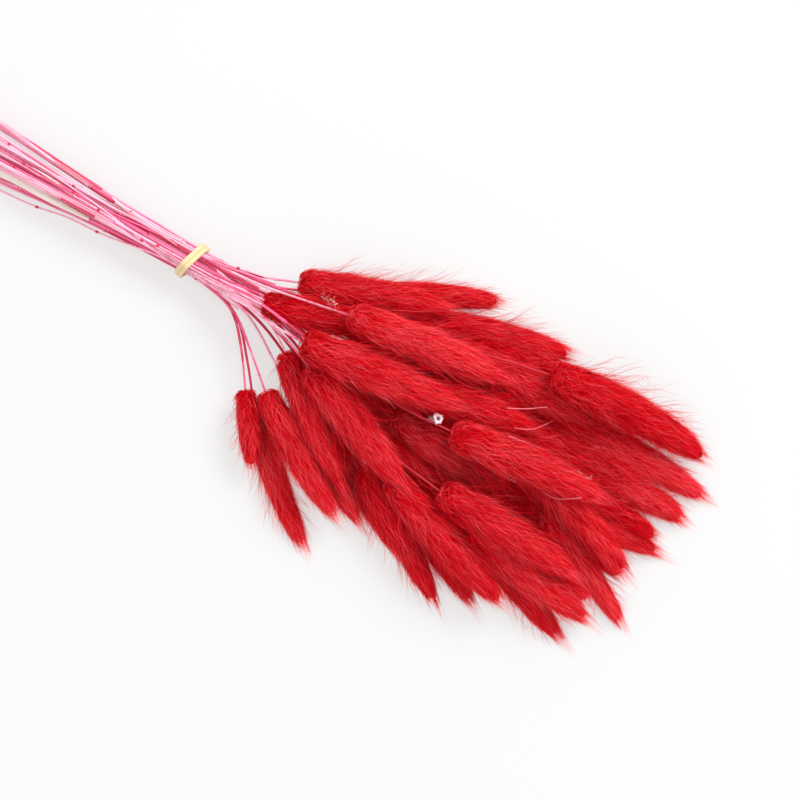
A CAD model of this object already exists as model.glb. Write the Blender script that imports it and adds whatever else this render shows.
"""A bunch of dried bunny tail grass, dyed red, lying on a pale floor in soft studio light.

The CAD model says where each head and each stem lies. Here every head gets its fur: a dark core,
fine underfur, a coat that gathers into small tufts, guard hairs, flyaways and a few long awns.
Every stem gets its smooth run, its joints, its sheaths and its hollow cut end.
"""
import math

import bpy
import numpy as np
from bpy.props import FloatProperty, FloatVectorProperty, IntProperty, PointerProperty
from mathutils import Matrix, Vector


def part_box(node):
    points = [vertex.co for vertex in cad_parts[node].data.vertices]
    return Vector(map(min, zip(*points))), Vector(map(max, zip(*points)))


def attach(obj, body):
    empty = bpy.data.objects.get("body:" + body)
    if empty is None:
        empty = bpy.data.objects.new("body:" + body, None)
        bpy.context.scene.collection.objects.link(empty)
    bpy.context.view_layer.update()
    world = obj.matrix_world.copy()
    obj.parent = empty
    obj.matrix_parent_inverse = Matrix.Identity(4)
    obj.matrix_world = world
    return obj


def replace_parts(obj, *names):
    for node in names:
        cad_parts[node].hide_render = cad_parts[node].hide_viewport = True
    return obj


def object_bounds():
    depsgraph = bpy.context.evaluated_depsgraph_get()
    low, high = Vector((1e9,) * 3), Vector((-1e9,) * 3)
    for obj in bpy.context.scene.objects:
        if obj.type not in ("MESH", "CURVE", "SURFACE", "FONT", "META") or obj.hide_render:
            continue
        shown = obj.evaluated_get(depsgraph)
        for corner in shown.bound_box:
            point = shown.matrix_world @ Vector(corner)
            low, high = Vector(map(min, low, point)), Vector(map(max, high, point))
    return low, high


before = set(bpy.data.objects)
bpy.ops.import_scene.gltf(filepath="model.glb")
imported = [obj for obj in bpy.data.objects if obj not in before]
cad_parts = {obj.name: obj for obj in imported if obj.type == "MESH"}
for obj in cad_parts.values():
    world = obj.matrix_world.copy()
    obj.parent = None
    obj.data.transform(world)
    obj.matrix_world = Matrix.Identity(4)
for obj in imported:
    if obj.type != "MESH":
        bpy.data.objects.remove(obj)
CAD_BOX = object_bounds()

bl_info = {
    "name": "Dried Bunny Tail Grass",
    "version": (1, 0, 0),
    "blender": (4, 5, 0),
    "location": "3D View > Sidebar > Grass",
    "description": "Grows the fur, stems and tie of a bunch of dyed bunny tail grass",
    "category": "Object",
}

MM = 0.001
SEED = 7
FLOOR_CLEARANCE = 0.2 * MM      # no hair goes lower than this
FLUFF_ROOM = 9.5 * MM           # no hair reaches further than this out of the CAD box
LOWEST = np.array((*(CAD_BOX[0][k] - FLUFF_ROOM for k in (0, 1)), FLOOR_CLEARANCE))
HIGHEST = np.array([top + FLUFF_ROOM for top in CAD_BOX[1]])

# How the CAD nodes are read
WELD_DIGITS = 6
RING_APART = 1.5 * MM           # corners of a stem's tube further apart than this are two rings
SPINE_STEPS = 60
SPINE_PAST = 0.35               # how far a head's middle line is drawn on past its tip
BASE_ROUND = 0.17               # the CAD head's profile: share of the length that swells
TIP_START = 0.50                # and where it begins to narrow
MEASURED = (0.15, 0.8)          # a head's radius is measured between these shares of its length
OUTERMOST = 96                  # percentile of the corners that counts as the outside

# The coat's own profile, in shares of the head's length and largest radius
COAT_BEHIND = 0.02              # the fur reaches this far back round the stem
COAT_DOME = 0.13
COAT_NARROWS = 0.36
BRUSHES = (0.24, 0.52)          # the tip's radius lies between these
BRUSH_LENGTH = 0.22
LUMPS = 7
LUMP = 0.014                    # height of each of the waves that make the outline uneven

# The core
CORE_SIDES = 16
CORE_STEPS = 22
CORE_SHARES = (0.01, 0.97)      # it runs between these shares of the head's length

# The hairs, in shares of the head's length where nothing else is said
MIDDLING_HEAD = 58 * MM * 6.8 * MM      # length times radius of the head that the numbers are for
LONG_HEAD = 54 * MM             # heads shorter than this have shorter hairs
LAST_ROOT = 0.89
CROWDED = (0.9, 0.03)           # how many more hairs there are at the base, and over what stretch
BASE_STANDS = (0.06, 0.12)      # reach of a hair at the very base, and where the reach is whole
TIP_SHORTENS = (0.70, 0.58)     # from where the hairs are shorter, and by how much at the tip
TUFT_TIP = (0.66, 0.18)         # where the torn tufts of the tip begin, and over what stretch
HAIR_TIP = (0.74, 0.18)         # where the torn hairs of the tip begin, and over what stretch
AT_BASE = 0.06                  # stretch of the hairs that stand on end
LOW_AT_BASE = (0.2, 0.22)       # share of its height that a hair has at the base, and where it is whole
VARIES = (0.7, 1.3)             # lengths and widths lie between these shares
STRAGGLE = 0.4                  # how much further some hairs of the tip reach
RAGGED = 0.20                   # how much the height of the tip's hairs varies
TIP_PULL = 0.48                 # how much more the tip's hairs gather into tufts
SIDEWAYS_MOST = 1.8             # no hair sways or bows more than this many times the usual
HEIGHT_MOST = 2.0
TAPER = 0.55                    # share of its width that a hair loses towards its tip

# The map that the fur's colour is read from: along the hair in u, and the hair's own tone in v
HAIR_MAP = "OFBake"
HAIR_MAP_WIDTH = 0.02
HEAD_TONES = (0.24, 0.50)
LIGHTEST = 0.90


def named(prefix):
    return sorted(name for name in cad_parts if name.startswith(prefix))


def unit(rows, least=0.0):
    """Rows of numbers made into directions of length 1."""
    return rows / (np.linalg.norm(rows, axis=1, keepdims=True) + least)


def level_across(ahead):
    """Level directions square to the ones ahead."""
    return unit(np.cross((0.0, 0.0, 1.0), ahead))


def read_between(places, knots, rows):
    """Rows of numbers read at places between the knots that they are given for."""
    return np.column_stack([np.interp(places, knots, column) for column in rows.T])


def half_turned(angles):
    """Angles brought to within half a turn of nothing."""
    return (angles + math.pi) % (2 * math.pi) - math.pi


def turns_of(sides):
    return np.arange(sides) * 2 * math.pi / sides


def along_of(line):
    """How far along a line each of its points is."""
    return np.concatenate(((0.0,), np.cumsum(np.linalg.norm(np.diff(line, axis=0), axis=1))))


def eased(share, stretch):
    """0 up to where the stretch begins, 1 from its end on."""
    start, length = stretch
    return np.clip((share - start) / length, 0.0, 1.0)


def dimmed(colour, share):
    return tuple(share * c for c in colour)


def corners(node):
    """The corners of a CAD node, each one once."""
    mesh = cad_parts[node].data
    flat = np.empty(len(mesh.vertices) * 3)
    mesh.vertices.foreach_get("co", flat)
    return np.unique(flat.reshape(-1, 3).round(WELD_DIGITS), axis=0)


def stem_rings(node):
    """Middles and radii of the rings of a stem's CAD tube, from the cut end to the head."""
    points = corners(node)
    points = points[np.argsort(points[:, 0])]
    breaks = np.flatnonzero(np.diff(points[:, 0]) > RING_APART) + 1
    groups = np.split(points, breaks)
    middles = np.array([group.mean(axis=0) for group in groups])
    radii = [np.linalg.norm(group - middle, axis=1).mean() for group, middle in zip(groups, middles)]
    return middles, np.array(radii)


def head_profile(share):
    """Radius of a CAD head as a share of its largest, from its blunt base (0) to its tip (1)."""
    swell = 1.0 - np.clip(1.0 - share / BASE_ROUND, 0.0, 1.0) ** 2.5
    narrow = 1.0 - np.clip((share - TIP_START) / (1.0 - TIP_START), 0.0, 1.0) ** 3.2
    return np.sqrt(np.clip(swell, 0.0, 1.0)) * narrow ** 0.55


def coat_profile(share, brush=0.4):
    """Radius of the coat as a share of its largest: a blunt dome, a long body and a brush."""
    dome = 1.0 - np.clip(1.0 - (share + COAT_BEHIND) / COAT_DOME, 0.0, 1.0) ** 2.5
    body = 1.0 - np.clip((share - COAT_NARROWS) / (1.0 - COAT_NARROWS), 0.0, 1.0) ** 2.2
    end = 1.0 - np.clip((share - 1.0) / BRUSH_LENGTH, 0.0, 0.6)
    return np.sqrt(np.clip(dome, 0.0, 1.0)) * (brush * end + (1.0 - brush) * body ** 0.6)


def bows(share):
    """Curves that vanish at both ends of a head, from which its bend is made up."""
    hump = share * (1.0 - share)
    return np.column_stack((hump, hump * share, hump * share ** 2))


class Spine:
    """The middle line of one head, with its length and largest radius."""

    def __init__(self, base, tip, bend, radius):
        chord = tip - base
        self.radius = radius
        self.length = np.linalg.norm(chord)
        table = np.linspace(0.0, 1.0, SPINE_STEPS)
        line = base + np.outer(table, chord) + bows(table) @ bend
        ahead = np.gradient(line, axis=0)
        before, past = ahead[[0, -1]] * (SPINE_STEPS - 1) * SPINE_PAST
        self.table = np.concatenate(((-SPINE_PAST,), table, (1.0 + SPINE_PAST,)))
        self.line = np.vstack((line[0] - before, line, line[-1] + past))
        self.ahead = unit(np.vstack((ahead[0], ahead, ahead[-1])))
        self.across = level_across(self.ahead)
        self.up = np.cross(self.ahead, self.across)

    def read(self, rows, share):
        return read_between(share, self.table, rows)

    def outward(self, share, turn):
        return (np.cos(turn)[:, None] * self.read(self.across, share)
                + np.sin(turn)[:, None] * self.read(self.up, share))

    def point(self, share, turn, out):
        """Points at a share of the length, an angle about the middle line and a distance from it."""
        return self.read(self.line, share) + out[:, None] * self.outward(share, turn)


def spine_of(node, start):
    """The middle line of the head in a CAD node, whose stem ends at start."""
    points = corners(node)
    base = points[np.linalg.norm(points - start, axis=1).argmin()]
    tip = points[np.linalg.norm(points - base, axis=1).argmax()]
    chord = tip - base
    share = (points - base) @ chord / (chord @ chord)
    aside = points - base - np.outer(share, chord)
    bend = np.linalg.lstsq(bows(share), aside, rcond=None)[0]
    thick = np.linalg.norm(aside - bows(share) @ bend, axis=1)
    middle = (share > MEASURED[0]) & (share < MEASURED[1])
    radius = np.percentile(thick[middle] / head_profile(share[middle]), OUTERMOST)
    return Spine(base, tip, bend, radius)


def strands(points, sides, widths, tones, roots):
    """Flat hairs as corners, face corner numbers, face sizes and the map of every face corner.

    points holds the points of each hair, sides the way that it is flat and widths its width at
    each point. roots says how far along the colours of a hair it starts.
    """
    count, steps = points.shape[:2]
    half = sides[:, None, :] * widths[:, :-1, None] / 2
    pairs = np.stack((points[:, :-1] - half, points[:, :-1] + half), axis=2).reshape(count, -1, 3)
    verts = np.clip(np.concatenate((pairs, points[:, -1:]), axis=1), LOWEST, HIGHEST)
    quads = np.arange(steps - 2)[:, None]
    last = steps - 2
    pattern = np.append(2 * quads + (0, 1, 3, 2), (2 * last, 2 * last + 1, 2 * last + 2))
    along = np.append(quads + (0, 0, 1, 1), (last, last, last + 1)) / (steps - 1)
    side = np.append(np.tile((0.0, 1.0, 1.0, 0.0), last), (0.0, 1.0, 0.5))
    sizes = np.append(np.full(last, 4), 3)
    loops = pattern[None, :] + verts.shape[1] * np.arange(count)[:, None]
    u = roots[:, None] + (1.0 - roots[:, None]) * along[None, :]
    v = tones[:, None] + HAIR_MAP_WIDTH * side[None, :]
    maps = np.column_stack((u.ravel(), v.ravel()))
    return verts.reshape(-1, 3), loops.ravel(), np.tile(sizes, count), maps


def mesh_from(name, parts):
    """One mesh of several (corners, face corner numbers, face sizes, map) parts."""
    firsts = np.cumsum([0] + [len(part[0]) for part in parts])
    parts = [(verts, loops + first, sizes, maps)
             for first, (verts, loops, sizes, maps) in zip(firsts, parts)]
    verts, loops, sizes, maps = (np.concatenate(rows) for rows in zip(*parts))
    mesh = bpy.data.meshes.new(name)
    mesh.vertices.add(len(verts))
    mesh.vertices.foreach_set("co", verts.ravel())
    mesh.loops.add(len(loops))
    mesh.loops.foreach_set("vertex_index", loops)
    mesh.polygons.add(len(sizes))
    mesh.polygons.foreach_set("loop_start", np.concatenate(((0,), np.cumsum(sizes)[:-1])))
    mesh.polygons.foreach_set("use_smooth", np.ones(len(sizes), dtype=bool))
    layer = mesh.uv_layers.new(name=HAIR_MAP)
    layer.data.foreach_set("uv", maps.ravel())
    mesh.update(calc_edges=True)
    mesh.validate()
    return mesh


class Signal:
    """A shader socket that takes part in Python sums. A sum on it adds its Math nodes."""

    def __init__(self, shader, socket):
        self.shader = shader
        self.socket = socket

    def math(self, operation, first, second):
        return self.shader.node("ShaderNodeMath", {"operation": operation}, {0: first, 1: second})

    def __add__(self, other):
        return self.math("ADD", self, other)

    def __radd__(self, other):
        return self.math("ADD", other, self)

    def __mul__(self, other):
        return self.math("MULTIPLY", self, other)

    def __rmul__(self, other):
        return self.math("MULTIPLY", other, self)


class Finish:
    """One material with a Principled shader. Any other node comes from node()."""

    def __init__(self, name, roughness):
        self.material = bpy.data.materials.new(name)
        self.material.use_nodes = True
        self.tree = self.material.node_tree
        self.surface = self.tree.nodes["Principled BSDF"]
        self.feed("Roughness", roughness)

    def node(self, kind, settings=None, sockets=None, output=0):
        node = self.tree.nodes.new(kind)
        for key, value in (settings or {}).items():
            if key == "stops":
                self.set_stops(node.color_ramp, value)
            else:
                setattr(node, key, value)
        for key, value in (sockets or {}).items():
            self.connect(node.inputs[key], value)
        return Signal(self, node.outputs[output])

    def set_stops(self, ramp, stops):
        while len(ramp.elements) < len(stops):
            ramp.elements.new(1.0)
        for element, (place, colour) in zip(ramp.elements, stops):
            element.position = place
            element.color = (*colour[:3], 1.0)

    def connect(self, socket, value):
        if isinstance(value, Signal):
            self.tree.links.new(value.socket, socket)
        else:
            socket.default_value = value

    def feed(self, socket, value):
        self.connect(self.surface.inputs[socket], value)

    def mix(self, factor, first, second, blend="MIX"):
        first, second = ((*c, 1.0) if isinstance(c, tuple) and len(c) == 3 else c
                         for c in (first, second))
        return self.node("ShaderNodeMix", {"data_type": "RGBA", "blend_type": blend},
                         {0: factor, 6: first, 7: second}, output=2)

    def ranged(self, value, low=0.0, high=1.0, to_low=0.0, to_high=1.0):
        """The value carried over from one range to another, and held inside it."""
        return self.node("ShaderNodeMapRange", None, {
            "Value": value, "From Min": low, "From Max": high, "To Min": to_low, "To Max": to_high})

    def noise(self, scale, detail=2.0, stretch=(1.0, 1.0, 1.0)):
        place = self.node("ShaderNodeTexCoord", output="Object")
        place = self.node("ShaderNodeMapping", None, {"Vector": place, "Scale": stretch})
        return self.node("ShaderNodeTexNoise", None,
                         {"Vector": place, "Scale": scale, "Detail": detail})

    def bump(self, strength, height):
        return self.node("ShaderNodeBump", None,
                         {"Strength": strength, "Distance": 0.2 * MM, "Height": height})


def linked(name, data):
    obj = bpy.data.objects.new(name, data)
    bpy.context.scene.collection.objects.link(obj)
    return obj


def piece(name, mesh, slot, *finishes):
    """A finished piece that goes where the bunch goes."""
    for finish in finishes:
        mesh.materials.append(finish)
    obj = linked(name, mesh)
    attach(obj, "root")
    return obj


def colour_setting(name, default, description):
    return FloatVectorProperty(name=name, default=default, size=3, subtype="COLOR",
                               description=description)


def length_setting(name, default, description):
    return FloatProperty(name=name, default=default, unit="LENGTH", precision=5,
                         description=description)


def share_setting(name, default, low, high, description):
    return FloatProperty(name=name, default=default, min=low, max=high, subtype="FACTOR",
                         description=description)


def number_setting(name, default, description, least=0):
    return IntProperty(name=name, default=default, min=least, description=description)


# The heads

class HeadSettings(bpy.types.PropertyGroup):
    core: share_setting("Core", 0.84, 0.1, 0.9, "Radius of the dark core, as a share of the head's")
    fluff: share_setting("Fluff", 1.14, 0.8, 1.4, "Radius of the coat, as a share of the CAD head's")
    underfur: number_setting("Underfur", 6000, "Number of short straight hairs on a middling head")
    coat: number_setting("Coat", 4150, "Number of bent hairs that gather into tufts")
    guard: number_setting("Guard hairs", 1800, "Number of longer hairs that stand out of the coat")
    flyaways: number_setting("Flyaways", 300, "Number of light hairs that cross the coat")
    awns: number_setting("Awns", 470, "Number of long thin awns")
    tufts: number_setting("Tufts", 220, "Number of tufts that the coat gathers into", 1)
    hair_length: length_setting("Hair length", 10.5 * MM,
                                "How far a hair of the coat reaches along the head")
    hair_width: length_setting("Hair width", 0.20 * MM, "Width of a hair of the coat at its root")
    awn_length: length_setting("Awn length", 15.0 * MM, "How far an awn reaches along the head")
    root_colour: colour_setting("Root", (0.50, 0.001, 0.006), "Colour of the hairs at their roots")
    hair_colour: colour_setting("Hair", (0.96, 0.002, 0.011), "Colour of the hairs")
    tip_colour: colour_setting("Tip", (0.97, 0.008, 0.024), "Colour of the hairs at their tips")
    light_colour: colour_setting("Light", (1.0, 0.18, 0.21),
                                 "Colour of the hairs that catch the light")


def fur_finish(settings):
    """Hair colour from the map: along the hair in u and the hair's own tone in v."""
    finish = Finish("Dyed Fur", 0.5)
    finish.feed("Specular IOR Level", 0.02)
    place = finish.node("ShaderNodeUVMap", {"uv_map": HAIR_MAP})
    along = finish.node("ShaderNodeSeparateXYZ", None, {0: place})
    tone = Signal(finish, along.socket.node.outputs["Y"])
    colour = finish.node("ShaderNodeValToRGB", {"stops": (
        (0.0, tuple(settings.root_colour)),
        (0.35, dimmed(settings.hair_colour, 0.75)),
        (0.65, tuple(settings.hair_colour)),
        (1.0, tuple(settings.tip_colour)),
    )}, {0: along})
    shade = finish.ranged(tone, to_low=0.58, to_high=1.12)
    grey = finish.node("ShaderNodeCombineXYZ", None, {0: shade, 1: shade, 2: shade})
    colour = finish.mix(1.0, colour, grey, "MULTIPLY")
    light = finish.ranged(tone, 0.54, 0.88)
    colour = finish.mix(light * along * 0.8, colour, tuple(settings.light_colour))
    finish.feed("Base Color", colour)
    return finish.material


def core_finish(settings):
    """The dense base of the fur, seen only in the gaps between the hairs."""
    finish = Finish("Dyed Fur Core", 0.9)
    finish.feed("Specular IOR Level", 0.0)
    finish.feed("Base Color", finish.mix(finish.noise(900.0), dimmed(settings.root_colour, 0.6),
                                         tuple(settings.root_colour)))
    return finish.material


class Groom:
    """Draws the hairs of one head."""

    def __init__(self, spine, settings, seed, density=1.0):
        self.spine = spine
        self.density = density
        self.settings = settings
        self.draw = np.random.default_rng(seed)
        self.brush = self.draw.uniform(*BRUSHES)
        share = np.linspace(-COAT_BEHIND / 2, LAST_ROOT, 400)
        more, stretch = CROWDED
        weight = np.cumsum(coat_profile(share, self.brush) + more * np.exp(-np.abs(share) / stretch))
        self.spread = (np.concatenate(((0.0,), weight)) / weight[-1], np.append(share[0], share))
        self.size = spine.length * spine.radius / MIDDLING_HEAD
        self.long = min(1.0, spine.length / LONG_HEAD)
        self.tone = self.draw.uniform(*HEAD_TONES)
        self.place_tufts()
        self.lumps = [(self.draw.uniform(1.0, 5.0), self.draw.integers(0, 4),
                       self.draw.uniform(0.0, 2 * math.pi)) for _ in range(LUMPS)]

    def shares(self, places):
        return np.interp(places, *self.spread)

    def place_tufts(self):
        """Spots that the hairs round them lean towards, spread evenly over the head."""
        count = max(30, int(self.settings.tufts * self.size))
        order = (np.arange(count) + self.draw.uniform(0.2, 0.8, count)) / count
        self.tuft_share = self.shares(order)
        golden = math.pi * (3.0 - math.sqrt(5.0))
        self.tuft_turn = np.arange(count) * golden + self.draw.normal(0.0, 0.25, count)
        self.tuft_height = self.draw.normal(1.0, 0.06, count)
        self.tuft_sway = self.draw.normal(0.0, 0.25, count)
        self.tuft_reach = self.draw.uniform(0.85, 1.25, count)
        self.tuft_tone = self.draw.normal(0.0, 0.05, count)
        torn = eased(self.tuft_share, TUFT_TIP)
        self.tuft_reach += torn * (self.tuft_reach - 0.92) * 2.4
        self.tuft_height += torn * (self.tuft_height - 1.0) * 2.5
        self.tuft_tone *= 1.0 + torn

    def nearest_tuft(self, share, turn):
        along = (share[:, None] - self.tuft_share[None, :]) * self.spine.length
        around = half_turned(turn[:, None] - self.tuft_turn[None, :])
        radius = self.spine.radius * head_profile(share)[:, None]
        return (along ** 2 + (around * radius) ** 2).argmin(axis=1)

    def reach(self, share, length):
        """How far hairs reach along the head, as a share of it.

        They stand on end at the base and they are shorter at the tip.
        """
        least, whole = BASE_STANDS
        base = np.clip(least + share / whole, least, 1.0)
        begins, loss = TIP_SHORTENS
        tip = 1.0 - loss * eased(share, (begins, 1.0 - begins))
        return length / self.spine.length * self.long * base * tip

    def envelope(self, share, turn):
        """Radius of the coat, with a few gentle waves so that its outline isn't even."""
        waves = sum(np.sin(2 * math.pi * along * share + around * turn + phase)
                    for along, around, phase in self.lumps)
        size = self.spine.radius * self.settings.fluff * (1.0 + LUMP * waves)
        return size * coat_profile(share, self.brush)

    def scatter(self, count, most):
        """Random numbers about 0, held within the most."""
        return np.clip(self.draw.normal(0.0, 1.0, count), -most, most)

    def hairs(self, count, length, width, steps, root, height, sway, pull, tone, curl,
              uneven=0.07, bow=0.0):
        """One kind of hair, from its root to its tip.

        root and height are radii as shares of the coat's. sway and bow turn a hair about the head,
        pull draws it to the nearest tuft, and curl says how soon it rises.
        """
        draw = self.draw
        count = int(count * self.size * self.density)
        start = self.shares(draw.random(count))
        turn = draw.uniform(-math.pi, math.pi, count)
        tuft = self.nearest_tuft(start, turn)
        at_tip = eased(start, HAIR_TIP)
        at_base = np.exp(-np.maximum(start, 0.0) / AT_BASE)
        rising = np.clip(LOW_AT_BASE[0] + start / LOW_AT_BASE[1], 0.0, 1.0)
        height = 1.0 + (height - 1.0) * rising
        spread = draw.uniform(*VARIES, count) + STRAGGLE * at_tip * np.abs(draw.normal(0.0, 1.0, count))
        end = start + self.reach(start, length) * spread
        end_turn = turn + sway * self.scatter(count, SIDEWAYS_MOST)
        ragged = (uneven + RAGGED * at_tip) * rising * self.scatter(count, HEIGHT_MOST)
        end_out = self.envelope(end, turn) * (height + ragged)

        tuft_start = self.tuft_share[tuft]
        tuft_end = tuft_start + self.reach(tuft_start, length) * self.tuft_reach[tuft]
        tuft_turn = self.tuft_turn[tuft] + self.tuft_sway[tuft]
        tuft_out = self.envelope(tuft_end, tuft_turn) * self.tuft_height[tuft] * height
        pull = (pull + TIP_PULL * at_tip) * draw.uniform(0.5, 1.3, count)
        end = end + pull * (tuft_end - end)
        end_turn = end_turn + pull * half_turned(tuft_turn - end_turn)
        end_out = end_out + pull * (tuft_out - end_out)

        start_out = self.spine.radius * coat_profile(start, self.brush) * (root + 0.25 * at_base)
        bowing = bow * self.scatter(count, SIDEWAYS_MOST)
        places = np.linspace(0.0, 1.0, steps)
        points = np.stack([self.spine.point(
            start + (end - start) * place ** 1.25,
            turn + (end_turn - turn) * place + bowing * math.sin(math.pi * place),
            start_out + (end_out - start_out) * (1.0 - (1.0 - place) ** curl))
            for place in places], axis=1)
        along = unit(points[:, -1] - points[:, 0], 1e-9)
        outward = self.spine.outward((start + end) / 2, (turn + end_turn) / 2)
        round_head = np.cross(self.spine.read(self.spine.ahead, start), outward)
        sides = unit(round_head - np.sum(round_head * along, axis=1, keepdims=True) * along, 1e-9)
        roll = draw.normal(0.0, 0.5, count)[:, None]
        sides = np.cos(roll) * sides + np.sin(roll) * np.cross(along, sides)
        widths = width * draw.uniform(*VARIES, (count, 1)) * (1.0 - TAPER * places[None, :] ** 2)
        tones = self.tone + tone + self.tuft_tone[tuft] + draw.normal(0.0, 0.13, count)
        return strands(points, sides, widths, np.clip(tones, 0.0, LIGHTEST), 0.7 * at_base)

    def mesh(self):
        s = self.settings
        length, width = s.hair_length, s.hair_width
        return mesh_from("fur", [
            self.hairs(s.underfur, 0.60 * length, 1.2 * width, steps=2, root=0.74, height=0.92,
                       sway=0.24, pull=0.12, tone=-0.06, curl=1.0),
            self.hairs(s.coat, length, width, steps=3, root=0.70, height=1.00,
                       sway=0.24, pull=0.25, tone=0.02, curl=1.8, bow=0.1),
            self.hairs(s.guard, 1.15 * length, 0.95 * width, steps=3, root=0.80, height=1.18,
                       sway=0.44, pull=0.10, tone=0.36, curl=1.2, uneven=0.16, bow=0.3),
            self.hairs(s.flyaways, 1.955 * length, 0.50 * width, steps=4, root=0.85, height=1.42,
                       sway=0.75, pull=0.0, tone=0.46, curl=1.0, uneven=0.22, bow=0.5),
            self.hairs(s.awns, s.awn_length, 0.85 * width, steps=4, root=0.60, height=2.25,
                       sway=0.55, pull=0.0, tone=0.02, curl=1.05, uneven=0.50, bow=0.3),
        ])


def core_mesh(spine, share_of_radius):
    """The core as a ring-by-ring loft, closed at both ends."""
    sides, steps = CORE_SIDES, CORE_STEPS
    verts = []
    for share in np.linspace(*CORE_SHARES, steps):
        out = np.full(sides, spine.radius * coat_profile(share, BRUSHES[0]) * share_of_radius)
        verts.append(spine.point(np.full(sides, share), turns_of(sides), out))
    verts = np.vstack((*verts, spine.read(spine.line, np.array((0.0, 1.0)))))
    verts[:, 2] = np.maximum(verts[:, 2], FLOOR_CLEARANCE * 2)
    first, last, end = len(verts) - 2, len(verts) - 1, (steps - 1) * sides
    fans = [fan for k in range(sides) for fan in (
        (first, (k + 1) % sides, k), (last, end + k, end + (k + 1) % sides))]
    faces = ring_faces(steps, sides)[:-2] + fans
    maps = [((i + a) / steps, (k + b) / sides) for i in range(steps - 1) for k in range(sides)
            for a, b in ((0, 0), (0, 1), (1, 1), (1, 0))]
    maps += [(0.0, 0.0), (0.0, 0.05), (0.05, 0.0)] * len(fans)
    sizes = np.array([len(face) for face in faces])
    return mesh_from("core", [(verts, np.concatenate(faces), sizes, np.array(maps))])


class GRASS_OT_heads(bpy.types.Operator):
    """Grow the fur of every head"""
    bl_idname = "grass.heads"
    bl_label = "Heads"

    def execute(self, context):
        settings = context.scene.grass_heads
        fur = fur_finish(settings)
        core = core_finish(settings)
        for number, (head, stem) in enumerate(zip(named("head_"), named("stem_"))):
            spine = spine_of(head, stem_rings(stem)[0][-1])
            hairs = Groom(spine, settings, SEED + number).mesh()
            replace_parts(piece(f"fur_{head[-2:]}", hairs, "head_fur", fur), head)
            body = core_mesh(spine, settings.core)
            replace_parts(piece(f"core_{head[-2:]}", body, "head_fur", core), head)
        return {"FINISHED"}


# The stems

DYES = (0.26, 0.10, -0.04, -0.16)       # from the lowest stems to the highest
NEAR_HEADS = (-0.01, 0.05)              # the dye gets stronger from here to here
AMONG_HEADS = (0.040, 0.066)            # and the stems turn deep red from here to here
JOINT_HALF = 0.9 * MM                   # half length of the swelling at a joint
JOINT_RINGS = np.array((-1.6, -0.8, 0.0, 0.8, 1.6)) * MM
BORE = 0.5                              # radius of a stem's bore, as a share of the stem's
BORE_DEPTH = 3.0 * MM
INTO_HEAD = 3.0 * MM                    # how far a stem runs on into its head


class StemSettings(bpy.types.PropertyGroup):
    sides: number_setting("Sides", 10, "Sides of a stem", 3)
    step: length_setting("Step", 4.0 * MM, "Length of one stretch of a stem's skin")
    slimness: share_setting("Slimness", 0.80, 0.5, 1.0,
                            "Radius of a stem between its joints, as a share of the CAD's")
    joint: share_setting("Joint", 1.12, 1.0, 1.6, "How much thicker a stem is at its joints")
    joints_apart: length_setting("Joints apart", 90.0 * MM, "Distance from one joint to the next")
    sheath: share_setting("Sheath", 1.16, 1.0, 1.6,
                          "How much wider the dry sheath is than the stem it wraps")
    pink: colour_setting("Pink", (0.97, 0.52, 0.66), "Colour of a bare stem")
    hot_pink: colour_setting("Hot pink", (0.88, 0.12, 0.29),
                             "Colour of a stem where the dye is strong")
    crimson: colour_setting("Crimson", (0.60, 0.016, 0.07),
                            "Colour of the dry sheaths and of the streaks")
    deep: colour_setting("Deep red", (0.55, 0.006, 0.025), "Colour of the stems among the heads")
    joint_red: colour_setting("Joint red", (0.80, 0.02, 0.085), "Colour of the joints")


def smooth_run(middles, radii, step):
    """Evenly spaced points and radii on a smooth curve through the rings of a stem."""
    knots = along_of(middles)
    gaps = np.diff(knots)
    slopes = np.gradient(middles, knots, axis=0)
    count = max(8, int(knots[-1] / step))
    s = np.linspace(0.0, knots[-1], count + 1)
    k = np.clip(np.searchsorted(knots, s, side="right") - 1, 0, len(gaps) - 1)
    t = ((s - knots[k]) / gaps[k])[:, None]
    w = gaps[k][:, None]
    points = ((1 + 2 * t) * (1 - t) ** 2 * middles[k] + t * (1 - t) ** 2 * w * slopes[k]
              + t ** 2 * (3 - 2 * t) * middles[k + 1] + t ** 2 * (t - 1) * w * slopes[k + 1])
    return s, points, np.interp(s, knots, radii)


def tube(points, radii, sides):
    """Skin of a bent tube as rings of corners."""
    ahead = unit(np.gradient(points, axis=0))
    across = level_across(ahead)
    up = np.cross(ahead, across)
    turns = turns_of(sides)
    circle = (np.cos(turns)[None, :, None] * across[:, None, :]
              + np.sin(turns)[None, :, None] * up[:, None, :])
    return points[:, None, :] + radii[:, None, None] * circle


def ring_faces(count, sides, first=0):
    """Faces of a tube over rings of corners, closed at both ends."""
    faces = []
    for i in range(count - 1):
        for k in range(sides):
            n = (k + 1) % sides
            faces.append((i * sides + k, i * sides + n, (i + 1) * sides + n, (i + 1) * sides + k))
    faces.append(tuple(reversed(range(sides))))
    faces.append(tuple(range((count - 1) * sides, count * sides)))
    return [tuple(first + corner for corner in face) for face in faces]


def skins(name, *tubes):
    """One mesh of several tubes of rings, each one after a number that picks its material."""
    verts, faces, marks = [], [], []
    for mark, rings in tubes:
        count, sides = rings.shape[:2]
        added = ring_faces(count, sides, sum(len(block) for block in verts))
        faces += added
        marks += [mark] * len(added)
        verts.append(rings.reshape(-1, 3))
    mesh = bpy.data.meshes.new(name)
    mesh.from_pydata(np.concatenate(verts).tolist(), [], faces)
    mesh.polygons.foreach_set("use_smooth", [len(face) == 4 for face in faces])
    mesh.polygons.foreach_set("material_index", marks)
    return mesh


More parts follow.
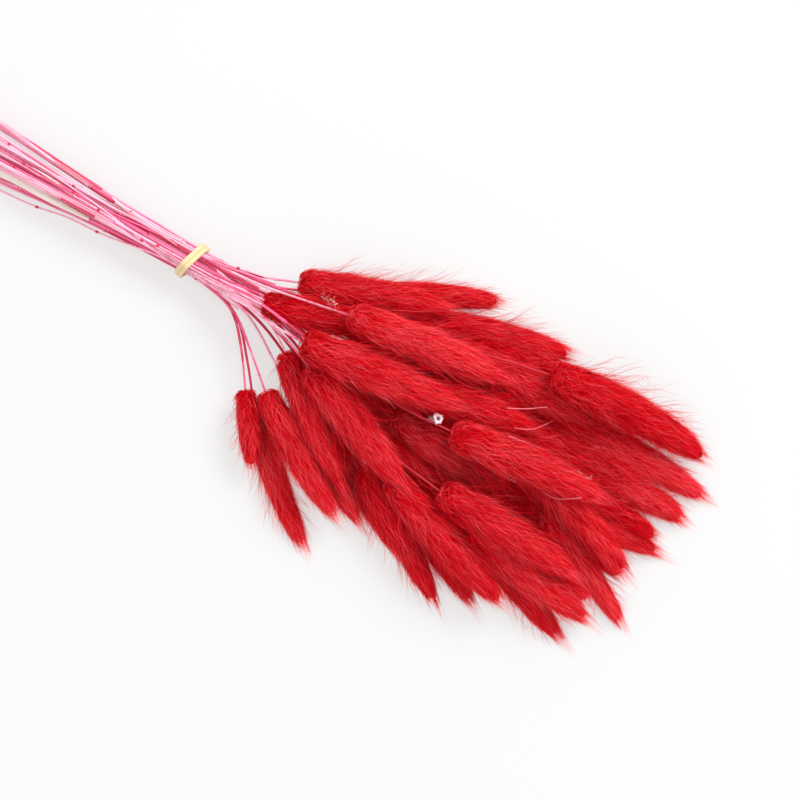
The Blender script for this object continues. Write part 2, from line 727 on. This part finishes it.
class Stalk:
    """One stem: its smooth run, its joints, its sheaths and its hollow cut end."""

    def __init__(self, middles, radii, settings, draw):
        self.settings = settings
        self.s, self.points, self.radii = smooth_run(middles, radii, settings.step)
        self.draw = draw
        gap = settings.joints_apart
        first = draw.uniform(0.2, 1.0) * gap
        self.joints = np.arange(first, self.s[-1] * 0.85, gap * draw.uniform(0.8, 1.2))

    def at(self, places):
        return read_between(places, self.s, self.points), np.interp(places, self.s, self.radii)

    def run(self):
        """The stem itself, with a swelling at every joint."""
        s = self.settings
        near = np.concatenate([joint + JOINT_RINGS for joint in self.joints])
        places = np.sort(np.concatenate((self.s, near[(near > 0.0) & (near < self.s[-1])])))
        points, radii = self.at(places)
        bulge = sum(np.exp(-((places - joint) / JOINT_HALF) ** 2) for joint in self.joints)
        radii = radii * (s.slimness + (s.joint - s.slimness) * np.minimum(bulge, 1.0))
        into = points[-1] + unit(points[-1:] - points[-2]) * INTO_HEAD
        hollow, bore = self.at(np.array((BORE_DEPTH, 0.1 * MM)))
        outside = tube(np.vstack((points, into)), np.append(radii, radii[-1]), s.sides)
        inside = tube(hollow[::-1], bore[::-1] * BORE, s.sides)[::-1]
        return np.concatenate((inside, outside))

    def patch(self, place, before, after, size, steps):
        """A sleeve over the stem round a place along it."""
        places = np.linspace(max(place - before, 0.0), min(place + after, self.s[-1]), steps)
        points, radii = self.at(places)
        taper = np.minimum(1.0, 0.80 + 0.9 * np.sin(np.linspace(0.0, math.pi, steps)))
        return tube(points, radii * self.settings.slimness * size * taper, self.settings.sides)

    def tubes(self):
        """The run (0), and over it dry sheaths (1), joints and small red marks (2)."""
        yield 0, self.run()
        chance = self.draw.random
        between = self.draw.uniform
        for joint in self.joints:
            yield 2, self.patch(joint, 0.6 * MM, 0.9 * MM, self.settings.joint * 1.16, 7)
            if chance() < 0.55:
                yield 1, self.patch(joint, 0.0, between(12.0, 52.0) * MM, self.settings.sheath, 10)
            if chance() < 0.4:
                spot = joint + between(6.0, 50.0) * MM
                if spot < self.s[-1] * 0.9:
                    yield 2, self.patch(spot, 0.3 * MM, between(0.5, 1.4) * MM, 1.04, 7)


def stem_finish(name, settings, dye, pale=None, strong=None, deep=None):
    """dye says how far the pale colour is on its way to the strong one. Near the heads it is more."""
    finish = Finish(name, 0.45)
    pale, strong, deep, crimson = (tuple(colour) for colour in (
        pale or settings.pink, strong or settings.hot_pink, deep or settings.deep, settings.crimson))
    place = finish.node("ShaderNodeTexCoord", output="Object")
    along = finish.node("ShaderNodeSeparateXYZ", None, {0: place})
    blotch = finish.noise(1.0, 3.0, (14.0, 420.0, 420.0))
    streak = finish.noise(1.0, 2.0, (45.0, 1900.0, 1900.0))
    near_heads = finish.ranged(along, *NEAR_HEADS, to_high=0.22)
    colour = finish.mix(finish.ranged(blotch + near_heads + dye, 0.42, 0.75), pale, strong)
    colour = finish.mix(finish.ranged(blotch, 0.64, 0.70) * 0.8, colour, crimson)
    colour = finish.mix(finish.ranged(streak, 0.52, 0.62) * 0.45, colour, crimson)
    finish.feed("Base Color", finish.mix(finish.ranged(along, *AMONG_HEADS), colour, deep))
    finish.feed("Normal", finish.bump(0.3, streak))
    return finish.material


def joint_finish(settings):
    finish = Finish("Stem Joint", 0.5)
    grain = finish.noise(1.0, 2.0, (300.0, 1500.0, 1500.0))
    finish.feed("Base Color", finish.mix(grain, tuple(settings.joint_red),
                                         dimmed(settings.joint_red, 0.6)))
    return finish.material


def grained(name, colour, roughness, stretch):
    """A finish with a grain, finer along the axes with the larger stretch."""
    finish = Finish(name, roughness)
    grain = finish.noise(1.0, 3.0, stretch)
    finish.feed("Base Color", finish.mix(grain, dimmed(colour, 0.8), tuple(colour)))
    finish.feed("Normal", finish.bump(0.2, grain))
    return finish.material


class GRASS_OT_stems(bpy.types.Operator):
    """Run every stem from its cut end into its head"""
    bl_idname = "grass.stems"
    bl_label = "Stems"

    def execute(self, context):
        settings = context.scene.grass_stems
        bare = [stem_finish(f"Dyed Stem {number}", settings, dye) for number, dye in enumerate(DYES)]
        sheath = stem_finish("Dry Sheath", settings, 0.1, settings.hot_pink, settings.crimson)
        joint = joint_finish(settings)
        draw = np.random.default_rng(SEED)
        runs = {stem: stem_rings(stem) for stem in named("stem_")}
        heights = [middles[:3, 2].mean() + draw.normal(0.0, 1.5) * MM for middles, _ in runs.values()]
        ranks = np.argsort(np.argsort(heights))
        for stem, rank in zip(runs, ranks):
            skin = skins("stalk", *Stalk(*runs[stem], settings, draw).tubes())
            dyed = bare[rank * len(bare) // len(runs)]
            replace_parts(piece(f"stalk_{stem[-2:]}", skin, "stem", dyed, sheath, joint), stem)
        return {"FINISHED"}


# The loose pieces. Places are in millimetres from the middle of the band.

LOOSE_HEADS = (                 # x, y, height, heading in degrees, length and largest radius
    (140.5, 8.6, 7.5, 1, 46, 6.0),
    (70.1, 5.8, 12.0, 1, 47, 5.6),
    (75.0, -12.0, 8.0, -5, 43, 5.6),
    (98.0, -20.5, 6.5, -16, 48, 5.6),
    (115.3, 28.2, 7.0, 0, 44, 5.8),
    (117.0, 6.1, 8.0, -7, 48, 5.6),
    (104.0, 11.5, 9.0, 6, 46, 5.8),
    (93.0, -5.0, 7.0, -4, 42, 5.6),
    (146.0, -16.0, 6.5, -8, 38, 5.4),
    (174.2, -2.4, 6.5, -1, 42, 5.6),
    (158.0, -9.0, 6.5, -15, 56, 5.8),
    (166.0, -24.3, 6.5, -20, 42, 5.4),
    (146.0, 19.5, 6.8, 4, 56, 5.8),
    (163.8, 11.4, 6.5, 6, 39, 5.6),
    (125.0, 30.6, 6.3, 8, 36, 5.4),
    (130.0, -33.0, 6.0, -25, 27, 5.0),
    (72.0, -24.0, 6.0, -32, 34, 5.0),
    (119.0, -18.5, 6.0, -19, 34, 5.2),
    (77.0, 22.3, 6.0, 8, 32, 5.0),
)
HEAD_STEM = (-14.0, 3.0)        # a loose head's stem runs from here to here, along the head
HEAD_STEM_RADIUS = 0.45
LOOSE_STEMS = (                 # ends and bends of broken stems that lie on the heads
    ((143.8, 2.2), (150.9, 3.5), (161.9, 5.2), (172.1, 7.5)),
    ((145.1, 6.2), (151.4, 8.9), (155.1, 12.9), (158.1, 17.4)),
    ((138.4, 11.5), (145.5, 15.2), (153.1, 20.5)),
    ((167.2, -9.7), (172.7, -10.2), (177.5, -7.4), (182.0, -4.0)),
    ((80.0, -9.7), (85.3, -11.7)),
    ((94.9, -8.5), (100.5, -10.8)),
)
CUT_STEM = ((115.0, -7.0, -10.0), (116.6, -6.2, -4.0), (117.2, -5.3, 1.5))
THIN_STEMS = 9                  # thin stems that lie on the others
UNDER_BAND = 9.0 * MM           # they sink between the others within this of the band
DIP_UNDER_BAND = 1.3 * MM
LONE_STEM = ((-195.0, -24.0), (-130.0, -18.5), (-80.2, -14.0), (-65.5, -12.9), (-53.6, -9.6),
             (-39.0, -9.4), (-24.5, -6.9), (-8.0, -4.4), (8.0, -4.2), (26.0, -7.5))
LONE_JOINTS = (-65.9, -39.6)
SMALL_JOINT = np.array((-0.5, 0.0, 0.7))
GLUMES = (                      # x, y, spread, number and length of the pale chaff at a head's base
    (54.8, 13.6, 4.6, 46, 3.2),
    (58.6, 13.0, 3.4, 34, 2.8),
    (50.2, -18.1, 1.6, 14, 1.2),
    (180.9, 4.2, 2.2, 18, 2.0),
)
GLUME_WIDTH = 0.17
SLIVERS = (                     # ends, width and dye (0 cream, 1 pink) of the dry strips on the stems
    ((-74.0, 0.2), (-57.2, -0.2), 1.0, 0.0),
    ((-66.0, -6.8), (-45.7, -6.7), 0.8, 0.1),
    ((-40.0, 6.0), (-34.7, 4.9), 0.9, 0.2),
    ((-68.6, 7.5), (-47.3, 5.9), 0.9, 0.9),
    ((-36.3, 4.5), (-7.3, 2.2), 1.3, 0.8),
    ((-81.2, 3.9), (-62.2, 2.9), 0.8, 1.0),
)
STRIP_OUTLINE = ((-1.0, 0.0), (0.0, 0.3), (1.0, 0.0), (1.0, -0.4), (0.0, -0.1), (-1.0, -0.4))
THIN_SIDES = 8
CUT_SIDES = 14


class LooseSettings(bpy.types.PropertyGroup):
    density: share_setting("Density", 0.6, 0.1, 1.0,
                           "How many hairs a loose head has, as a share of the others'")
    radius: length_setting("Radius", 0.20 * MM, "Radius of a broken stem")
    thin_radius: length_setting("Thin radius", 0.42 * MM,
                                "Radius of the thin stems that lie on the others")
    cut_radius: length_setting("Cut radius", 1.6 * MM, "Radius of the stem that shows its cut end")
    thickness: length_setting("Thickness", 0.16 * MM, "Thickness of the dry strips")
    faded: colour_setting("Faded", (0.92, 0.20, 0.26), "Colour of the broken stems")
    chaff: colour_setting("Chaff", (0.96, 0.86, 0.80), "Colour of the chaff")
    cut: colour_setting("Cut stem", (0.98, 0.76, 0.82), "Colour of the stem that shows its cut end")
    cream: colour_setting("Cream", (0.98, 0.95, 0.83), "Colour of the dry strips that took no dye")
    salmon: colour_setting("Salmon", (0.80, 0.16, 0.24), "Colour of the dry strips that took the dye")


class Pile:
    """Spheres along everything in the bunch, for the loose pieces to lie on."""

    def __init__(self, fluff):
        low, high = (np.array(corner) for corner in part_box("rubber_band"))
        self.middle = (low + high)[:2] / 2
        heads, stems = [], []
        for head, stem in zip(named("head_"), named("stem_")):
            middles, thick = stem_rings(stem)
            spine = spine_of(head, middles[-1])
            share = np.linspace(0.0, 1.0, SPINE_STEPS)
            radii = spine.radius * fluff * coat_profile(share)
            heads.append(np.column_stack((spine.read(spine.line, share), radii)))
            _, points, thick = smooth_run(middles, thick, 0.7 * MM)
            stems.append(np.column_stack((points, thick)))
        self.stems = np.concatenate(stems)
        self.all = np.concatenate((*heads, self.stems))

    def lay(self, spots, radius, steps, spheres=None, span=2):
        """A line on the top of the pile along the way through the spots.

        It keeps to the highest of span steps each way, as a stiff thing would.
        """
        spheres = self.all if spheres is None else spheres
        spots = np.array(spots) * MM + self.middle
        knots = along_of(spots)
        spots = evened(read_between(np.linspace(0.0, knots[-1], steps), knots, spots), span)
        heights = []
        for spot in spots:
            rise = (spheres[:, 3] + radius) ** 2 - np.sum((spheres[:, :2] - spot) ** 2, axis=1)
            over = rise > 0.0
            tops = spheres[over, 2] + np.sqrt(rise[over])
            heights.append(tops.max(initial=radius + FLOOR_CLEARANCE))
        heights = np.pad(heights, span, "edge")
        tops = np.lib.stride_tricks.sliding_window_view(heights, 2 * span + 1).max(axis=1)
        return np.column_stack((spots, evened(tops[:, None], span)))


def evened(rows, span):
    """Rows of numbers averaged over span rows each way. The first and the last stay."""
    if len(rows) < 3:
        return rows
    padded = np.pad(rows, ((span, span), (0, 0)), "reflect", reflect_type="odd")
    return np.lib.stride_tricks.sliding_window_view(padded, 2 * span + 1, axis=0).mean(axis=2)


def stiffened(line):
    """The line lifted to what a stiff stick would rest on: straight from one high spot to the next."""
    along, height = along_of(line[:, :2]), line[:, 2]
    kept = [0]
    for k in range(1, len(line)):
        while len(kept) > 1:
            a, b = kept[-2:]
            climb = (height[b] - height[a]) * (along[k] - along[b])
            if climb > (height[k] - height[b]) * (along[b] - along[a]):
                break
            kept.pop()
        kept.append(k)
    return np.column_stack((line[:, :2], np.interp(along, along[kept], height[kept])))


def strip_mesh(line, width, thickness):
    """A thin dry strip, pointed at both ends and curled a little across its width."""
    share = np.linspace(0.0, 1.0, len(line))
    across = level_across(np.gradient(line, axis=0))
    half = width / 2 * (0.15 + 0.85 * np.sin(math.pi * share) ** 0.6)
    up = np.array((0.0, 0.0, thickness))
    rings = np.stack([line + across * (half * side)[:, None] + up * rise
                      for side, rise in STRIP_OUTLINE], axis=1)
    return skins("strip", (0, rings[:, ::-1]))


class GRASS_OT_loose(bpy.types.Operator):
    """Lay the loose heads, the broken stems, the chaff and the dry strips in their places"""
    bl_idname = "grass.loose"
    bl_label = "Loose pieces"

    def execute(self, context):
        settings = context.scene.grass_loose
        heads, stems = context.scene.grass_heads, context.scene.grass_stems
        self.pile = Pile(heads.fluff)
        self.draw = np.random.default_rng(SEED)
        fur, core = fur_finish(heads), core_finish(heads)
        dyed = stem_finish("Loose Stem", stems, 0.3)
        faded = stem_finish("Broken Stem", stems, -0.1, settings.faded, deep=settings.faded)
        for number, (x, y, z, heading, length, radius) in enumerate(LOOSE_HEADS, start=1):
            base = np.array((*(np.array((x, y)) * MM + self.pile.middle), z * MM))
            ahead = np.array((math.cos(math.radians(heading)), math.sin(math.radians(heading)), 0.0))
            spine = Spine(base, base + ahead * length * MM, np.zeros((3, 3)), radius * MM)
            hairs = Groom(spine, heads, SEED * 10 + number, settings.density).mesh()
            piece(f"loose_fur_{number}", hairs, "head_fur", fur)
            piece(f"loose_core_{number}", core_mesh(spine, heads.core), "head_fur", core)
            back = np.linspace(*HEAD_STEM, 6)[:, None] * MM
            stem = tube(base + back * ahead, np.full(6, HEAD_STEM_RADIUS * MM), THIN_SIDES)
            piece(f"loose_stem_{number}", skins("stem", (0, stem)), "stem", dyed)
        for number, spots in enumerate(LOOSE_STEMS, start=1):
            self.broken_stem(f"broken_stem_{number}", spots, settings.radius, faded)
        pale, joint = stem_finish("Thin Stem", stems, -0.2), joint_finish(stems)
        self.thin_stem("lone_stem", LONE_STEM, LONE_JOINTS, settings.thin_radius, (pale, joint))
        for number in range(1, THIN_STEMS + 1):
            cut, band = self.draw.uniform(-15.0, 15.0), self.draw.uniform(-5.0, 4.5)
            spots = ((-196.0 + self.draw.uniform(0.0, 12.0), cut), (-40.0, 0.45 * band + 0.2 * cut),
                     (-8.0, band), (8.0, band), (34.0, 1.6 * band + 3.0))
            finishes = dyed if number % 3 == 0 else pale, joint
            joints = self.draw.uniform(-180.0, 20.0, 2)
            self.thin_stem(f"thin_stem_{number}", spots, joints, settings.thin_radius, finishes)
        cut_finish = grained("Cut Stem", settings.cut, 0.6, (600.0, 600.0, 1500.0))
        self.cut_stem(settings.cut_radius, cut_finish)
        self.chaff(grained("Chaff", settings.chaff, 0.6, (900.0, 900.0, 900.0)))
        for number, (first, last, width, dye) in enumerate(SLIVERS, start=1):
            colour = tuple((1.0 - dye) * a + dye * b for a, b in zip(settings.cream, settings.salmon))
            line = self.pile.lay((first, last), 2.2 * settings.thin_radius, 14, self.pile.stems)
            piece(f"dry_strip_{number}", strip_mesh(line, width * MM, settings.thickness), "leaf",
                  grained(f"Dry Strip {number}", colour, 0.6, (60.0, 1500.0, 1500.0)))
        return {"FINISHED"}

    def broken_stem(self, name, spots, radius, finish):
        line = stiffened(self.pile.lay(spots, radius, 24))
        line = np.column_stack([np.convolve(np.pad(column, 2, "edge"), np.full(5, 0.2), "valid")
                                for column in line.T])
        radii = radius * np.linspace(1.15, 0.75, 24)
        radii[-2:] *= 1.6
        piece(name, skins("stem", (0, tube(line, radii, THIN_SIDES))), "stem", finish)

    def thin_stem(self, name, spots, joints, radius, finishes):
        line = self.pile.lay(spots, radius, 90, self.pile.stems, 3)
        from_band = (line[:, 0] - self.pile.middle[0]) / UNDER_BAND
        line[:, 2] -= DIP_UNDER_BAND * np.exp(-from_band ** 2)
        tubes = [(0, tube(line, radius * np.linspace(1.1, 0.8, 90), THIN_SIDES))]
        for joint in joints:
            stretch = read_between(self.pile.middle[0] + (joint + SMALL_JOINT) * MM, line[:, 0], line)
            tubes.append((1, tube(stretch, np.full(3, radius * 1.3), THIN_SIDES)))
        piece(name, skins("stem", *tubes), "stem", *finishes)

    def cut_stem(self, radius, finish):
        """A hollow stem that comes up out of the pile, with its cut end in view."""
        places = np.array(CUT_STEM)
        line = read_between(np.linspace(0, 2, 9), range(3), places) * MM
        line[:, :2] += self.pile.middle
        line[:, 2] += self.pile.lay([places[-1, :2]] * 2, 1.3 * radius, 2)[-1, 2]
        outside = tube(line, np.full(9, radius), CUT_SIDES)
        lip = (outside[-1] - line[-1]) * np.abs(self.draw.normal(0.0, 0.4, CUT_SIDES))[:, None]
        outside[-1] += lip
        inside = tube(line, np.full(9, radius * BORE), CUT_SIDES)[::-1]
        inside[0] += lip * 0.3
        piece("cut_stem", skins("cut_stem", (0, np.concatenate((outside, inside[:4])))), "stem", finish)

    def chaff(self, finish):
        parts = []
        for x, y, spread, count, length in GLUMES:
            root = self.pile.lay([(x, y)] * 2, 0.2 * MM, 2)[0]
            roots = root + self.draw.normal(0.0, spread / 3, (count, 3)) * MM * np.array((1.0, 1.0, 0.3))
            ways = unit(self.draw.normal(0.0, 1.0, (count, 3)) + np.array((0.5, 0.0, 0.9)))
            reach = self.draw.uniform(0.3, 1.0, count)[:, None] * length * MM
            points = np.stack([roots + ways * reach * place for place in (0.0, 0.5, 1.0)], axis=1)
            sides = unit(np.cross(ways, (0.3, 0.2, 1.0)))
            plain = np.zeros(count)
            parts.append(strands(points, sides, np.full((count, 3), GLUME_WIDTH * MM), plain, plain))
        piece("chaff", mesh_from("chaff", parts), "head_fur", finish)


# The rubber band and the leaf

class TieSettings(bpy.types.PropertyGroup):
    rubber: colour_setting("Rubber", (0.87, 0.66, 0.36), "Colour of the rubber band")
    leaf: colour_setting("Leaf", (0.98, 0.95, 0.83), "Colour of the dry leaf")


class GRASS_OT_tie(bpy.types.Operator):
    """Finish the rubber band and the leaf"""
    bl_idname = "grass.tie"
    bl_label = "Tie and leaf"

    def execute(self, context):
        settings = context.scene.grass_tie
        finishes = {
            "rubber_band": grained("Rubber", settings.rubber, 0.55, (900.0, 900.0, 900.0)),
            "leaf_blade": grained("Dry Leaf", settings.leaf, 0.6, (60.0, 2000.0, 2000.0)),
        }
        for node, finish in finishes.items():
            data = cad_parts[node].data
            data.materials.clear()
            data.materials.append(finish)
        return {"FINISHED"}


# The stage

VIEW_CENTRE = (100.4 * MM, -6.7 * MM)   # middle of the picture, from the middle of the band
VIEW_LEVEL = 14 * MM                    # height at which the field is measured
FLOOR_SIZE = 12.0
KEY_SIZE = 0.7
KEY_PLACE = (0.8, 0.9, 1.3)             # right, up in the picture and above what it lights


class StageSettings(bpy.types.PropertyGroup):
    floor: colour_setting("Floor", (0.27, 0.27, 0.272), "Colour of the floor")
    glow: FloatProperty(name="Glow", default=0.58, min=0.0, description="Light that the floor gives off")
    field: length_setting("Field", 320 * MM, "How much the picture takes in across")
    distance: length_setting("Camera distance", 1.2, "Height of the camera above the bunch")
    turn: FloatProperty(name="Turn", default=math.radians(30), subtype="ANGLE",
                        description="Angle of the stems in the picture, down from level")
    key: FloatProperty(name="Key light", default=20.0, min=0.0, description="Power in watts")
    sky: FloatProperty(name="Sky light", default=1.0, min=0.0, description="Strength of the pale sky")


def floor_finish(settings):
    """Pale floor that gives off some light of its own, so that the shadows on it stay soft."""
    finish = Finish("Floor", 0.7)
    finish.feed("Base Color", finish.mix(finish.noise(3.0), tuple(settings.floor),
                                         dimmed(settings.floor, 0.99)))
    finish.feed("Emission Color", (1.0, 1.0, 1.0, 1.0))
    finish.feed("Emission Strength", settings.glow)
    return finish.material


class GRASS_OT_stage(bpy.types.Operator):
    """Set the floor, the lights and the camera"""
    bl_idname = "grass.stage"
    bl_label = "Stage"

    def execute(self, context):
        settings = context.scene.grass_stage
        low, high = (Vector(corner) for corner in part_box("rubber_band"))
        aim = (low + high) / 2 + Vector((*VIEW_CENTRE, 0.0))
        aim.z = VIEW_LEVEL

        camera = bpy.data.cameras.new("camera")
        camera.lens = camera.sensor_width * settings.distance / settings.field
        holder = linked("camera", camera)
        holder.location = aim + Vector((0.0, 0.0, settings.distance))
        holder.rotation_euler = (0.0, 0.0, settings.turn)
        context.scene.camera = holder

        bpy.ops.mesh.primitive_plane_add(size=FLOOR_SIZE, location=(0.0, 0.0, 0.0))
        floor = context.active_object
        floor.name = "floor"
        floor.data.materials.append(floor_finish(settings))

        lamp = bpy.data.lights.new("key", "AREA")
        lamp.energy = settings.key
        lamp.size = KEY_SIZE
        key = linked("key", lamp)
        right = Vector((math.cos(settings.turn), math.sin(settings.turn), 0.0))
        up = Vector((-math.sin(settings.turn), math.cos(settings.turn), 0.0))
        key.location = (aim + KEY_PLACE[0] * right + KEY_PLACE[1] * up
                        + Vector((0.0, 0.0, KEY_PLACE[2])))
        key.rotation_euler = (aim - key.location).to_track_quat("-Z", "Y").to_euler()

        world = context.scene.world or bpy.data.worlds.new("world")
        context.scene.world = world
        world.use_nodes = True
        sky = world.node_tree.nodes["Background"]
        sky.inputs["Color"].default_value = (1.0, 1.0, 1.0, 1.0)
        sky.inputs["Strength"].default_value = settings.sky
        context.scene.view_settings.view_transform = "Standard"
        return {"FINISHED"}


class GRASS_PT_panel(bpy.types.Panel):
    bl_idname = "GRASS_PT_panel"
    bl_label = "Dried Bunny Tail Grass"
    bl_space_type = "VIEW_3D"
    bl_region_type = "UI"
    bl_category = "Grass"

    def draw(self, context):
        for operator, group, _ in STEPS:
            box = self.layout.box()
            box.operator(operator.bl_idname)
            settings = getattr(context.scene, group)
            for name in settings.bl_rna.properties.keys():
                if name not in ("rna_type", "name"):
                    box.prop(settings, name)


STEPS = (
    (GRASS_OT_heads, "grass_heads", HeadSettings),
    (GRASS_OT_stems, "grass_stems", StemSettings),
    (GRASS_OT_loose, "grass_loose", LooseSettings),
    (GRASS_OT_tie, "grass_tie", TieSettings),
    (GRASS_OT_stage, "grass_stage", StageSettings),
)


def register():
    for operator, name, group in STEPS:
        bpy.utils.register_class(group)
        setattr(bpy.types.Scene, name, PointerProperty(type=group))
        bpy.utils.register_class(operator)
    bpy.utils.register_class(GRASS_PT_panel)


def unregister():
    bpy.utils.unregister_class(GRASS_PT_panel)
    for operator, name, group in reversed(STEPS):
        bpy.utils.unregister_class(operator)
        delattr(bpy.types.Scene, name)
        bpy.utils.unregister_class(group)


def main():
    register()
    bpy.ops.grass.heads()
    bpy.ops.grass.stems()
    bpy.ops.grass.loose()
    bpy.ops.grass.tie()
    bpy.ops.grass.stage()


if __name__ == "__main__":
    main()
